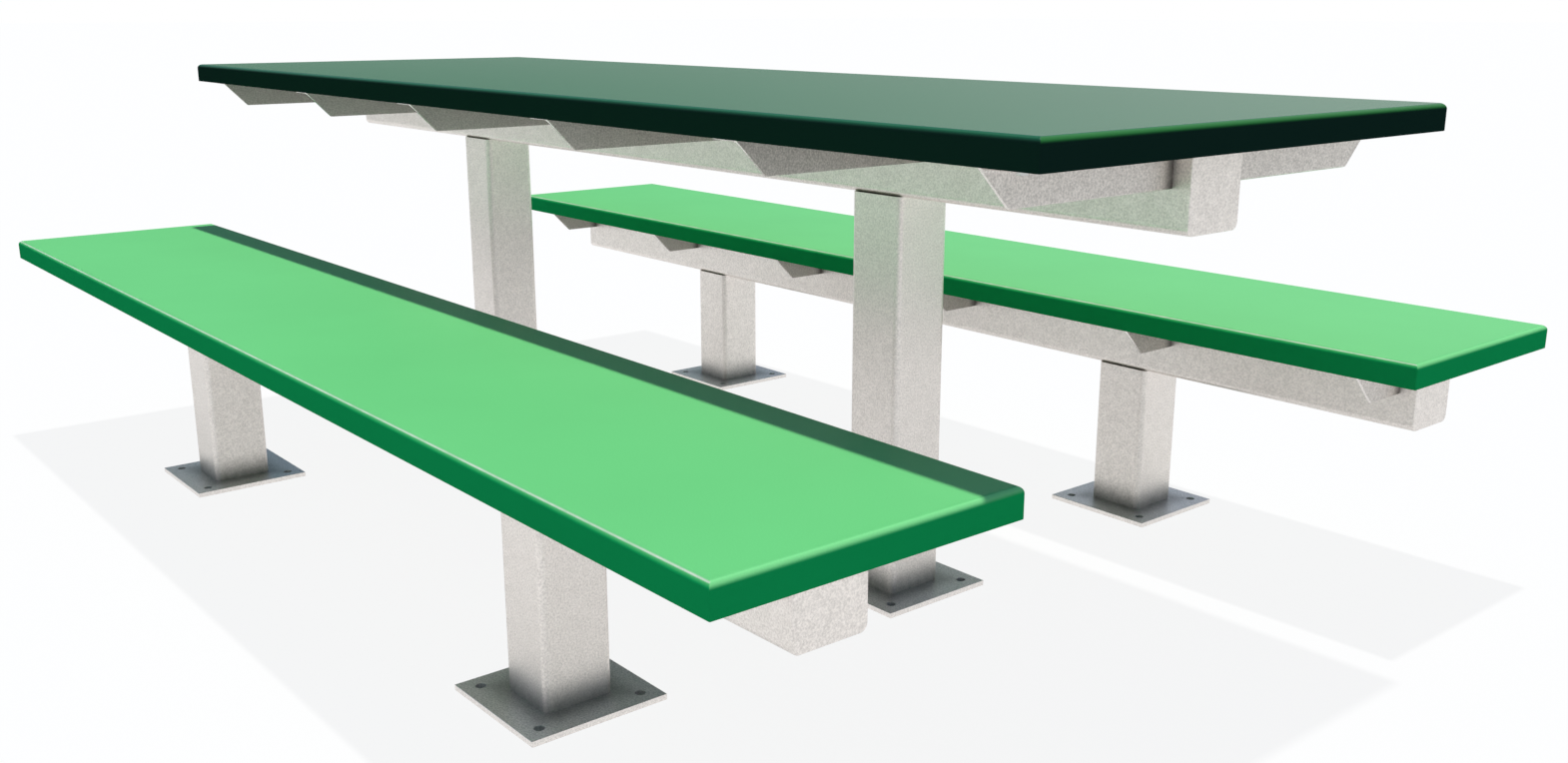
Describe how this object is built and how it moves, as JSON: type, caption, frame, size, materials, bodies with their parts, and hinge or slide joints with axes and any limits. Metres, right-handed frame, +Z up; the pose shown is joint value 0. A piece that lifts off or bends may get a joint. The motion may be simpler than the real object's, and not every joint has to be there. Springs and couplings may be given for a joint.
{
  "type": "picnic table set",
  "caption": "Outdoor picnic set: a long table with a matching bench along each side, plastic boards on galvanised frames of beam, cross arms, square posts and bolt-down base plates.",
  "frame": {"origin": "on the floor, under the centre of the table", "axes": "+X along the boards, +Y across them from the front bench to the back bench, +Z up"},
  "size_m": [2.4, 1.6, 0.75],
  "materials": {
    "table_board_green": "smooth, glossy dark green",
    "bench_board_green": "smooth, glossy bright green",
    "galvanised_steel": "hot-dip galvanised, pale grey with a fine speckle",
    "zinc_plated_fastener": "zinc plated",
    "brass_insert": "plain turned brass"
  },
  "bodies": {
    "root": {"table_board": "table_board_green", "table_beam": "galvanised_steel", "table_beam_cap_left": "galvanised_steel", "table_beam_cap_right": "galvanised_steel", "table_arm_1": "galvanised_steel", "table_arm_2": "galvanised_steel", "table_arm_3": "galvanised_steel", "table_arm_4": "galvanised_steel", "table_arm_5": "galvanised_steel", "table_arm_6": "galvanised_steel", "table_post_left": "galvanised_steel", "table_base_plate_left": "galvanised_steel", "table_post_right": "galvanised_steel", "table_base_plate_right": "galvanised_steel", "table_board_bolts": "zinc_plated_fastener", "table_board_washers": "zinc_plated_fastener", "table_board_inserts": "brass_insert", "front_bench_board": "bench_board_green", "front_bench_beam": "galvanised_steel", "front_bench_beam_cap_left": "galvanised_steel", "front_bench_beam_cap_right": "galvanised_steel", "front_bench_arm_1": "galvanised_steel", "front_bench_arm_2": "galvanised_steel", "front_bench_arm_3": "galvanised_steel", "front_bench_arm_4": "galvanised_steel", "front_bench_arm_5": "galvanised_steel", "front_bench_arm_6": "galvanised_steel", "front_bench_post_left": "galvanised_steel", "front_bench_base_plate_left": "galvanised_steel", "front_bench_post_right": "galvanised_steel", "front_bench_base_plate_right": "galvanised_steel", "front_bench_board_bolts": "zinc_plated_fastener", "front_bench_board_washers": "zinc_plated_fastener", "front_bench_board_inserts": "brass_insert", "back_bench_board": "bench_board_green", "back_bench_beam": "galvanised_steel", "back_bench_beam_cap_left": "galvanised_steel", "back_bench_beam_cap_right": "galvanised_steel", "back_bench_arm_1": "galvanised_steel", "back_bench_arm_2": "galvanised_steel", "back_bench_arm_3": "galvanised_steel", "back_bench_arm_4": "galvanised_steel", "back_bench_arm_5": "galvanised_steel", "back_bench_arm_6": "galvanised_steel", "back_bench_post_left": "galvanised_steel", "back_bench_base_plate_left": "galvanised_steel", "back_bench_post_right": "galvanised_steel", "back_bench_base_plate_right": "galvanised_steel", "back_bench_board_bolts": "zinc_plated_fastener", "back_bench_board_washers": "zinc_plated_fastener", "back_bench_board_inserts": "brass_insert"}
  },
  "joints": []
}
